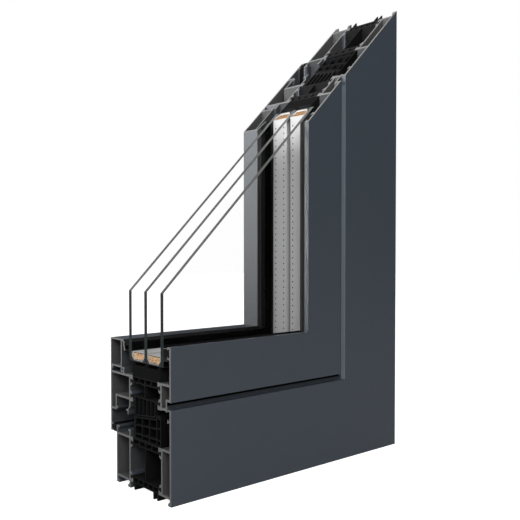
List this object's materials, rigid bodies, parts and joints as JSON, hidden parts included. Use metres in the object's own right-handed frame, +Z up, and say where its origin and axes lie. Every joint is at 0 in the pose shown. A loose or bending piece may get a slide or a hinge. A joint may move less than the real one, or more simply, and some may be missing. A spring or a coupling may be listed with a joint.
{
  "type": "aluminium window corner sample",
  "caption": "Cut corner of a triple-glazed aluminium window: thermally broken frame and sash with mitred profiles, insulating bars, gaskets, glazing bead and glass.",
  "frame": {"origin": "centre of the bounding box's bottom, under the frame's feet", "axes": "+X along the bottom rail towards the mitred corner, +Y from the outside face towards the room, +Z up along the jamb"},
  "size_m": [0.252, 0.086, 0.405],
  "materials": {
    "powder_coat": "fine satin powder coat, anthracite grey, bare metal at the cut ends",
    "insulating_bar": "matt black glass-filled polyamide",
    "gasket": "matt black rubber",
    "insulation": "matt dark grey foam",
    "glass": "clear float glass with ground edges",
    "spacer": "pale satin, perforated on the cavity side",
    "desiccant": "tan granules",
    "sealant": "matt black sealant",
    "cleat": "mill finish"
  },
  "bodies": {
    "root": {"frame_inner_cleat": "cleat", "frame_outer_cleat": "cleat", "inner_desiccant": "desiccant", "inner_edge_seal": "sealant", "inner_pane": "glass", "inner_spacer": "spacer", "jamb_centre_gasket": "gasket", "jamb_frame_inner_shell": "powder_coat", "jamb_frame_lower_bar": "insulating_bar", "jamb_frame_outer_shell": "powder_coat", "jamb_frame_upper_bar": "insulating_bar", "jamb_glazing_bead": "powder_coat", "jamb_inner_glazing_gasket": "gasket", "jamb_outer_glazing_gasket": "gasket", "jamb_overlap_gasket": "gasket", "jamb_rebate_insulation": "insulation", "jamb_sash_inner_shell": "powder_coat", "jamb_sash_lower_bar": "insulating_bar", "jamb_sash_outer_shell": "powder_coat", "jamb_sash_upper_bar": "insulating_bar", "middle_pane": "glass", "outer_desiccant": "desiccant", "outer_edge_seal": "sealant", "outer_pane": "glass", "outer_spacer": "spacer", "rail_centre_gasket": "gasket", "rail_frame_inner_shell": "powder_coat", "rail_frame_lower_bar": "insulating_bar", "rail_frame_outer_shell": "powder_coat", "rail_frame_upper_bar": "insulating_bar", "rail_glazing_bead": "powder_coat", "rail_inner_glazing_gasket": "gasket", "rail_outer_glazing_gasket": "gasket", "rail_overlap_gasket": "gasket", "rail_rebate_insulation": "insulation", "rail_sash_inner_shell": "powder_coat", "rail_sash_lower_bar": "insulating_bar", "rail_sash_outer_shell": "powder_coat", "rail_sash_upper_bar": "insulating_bar", "sash_inner_cleat": "cleat", "sash_outer_cleat": "cleat"}
  },
  "joints": []
}
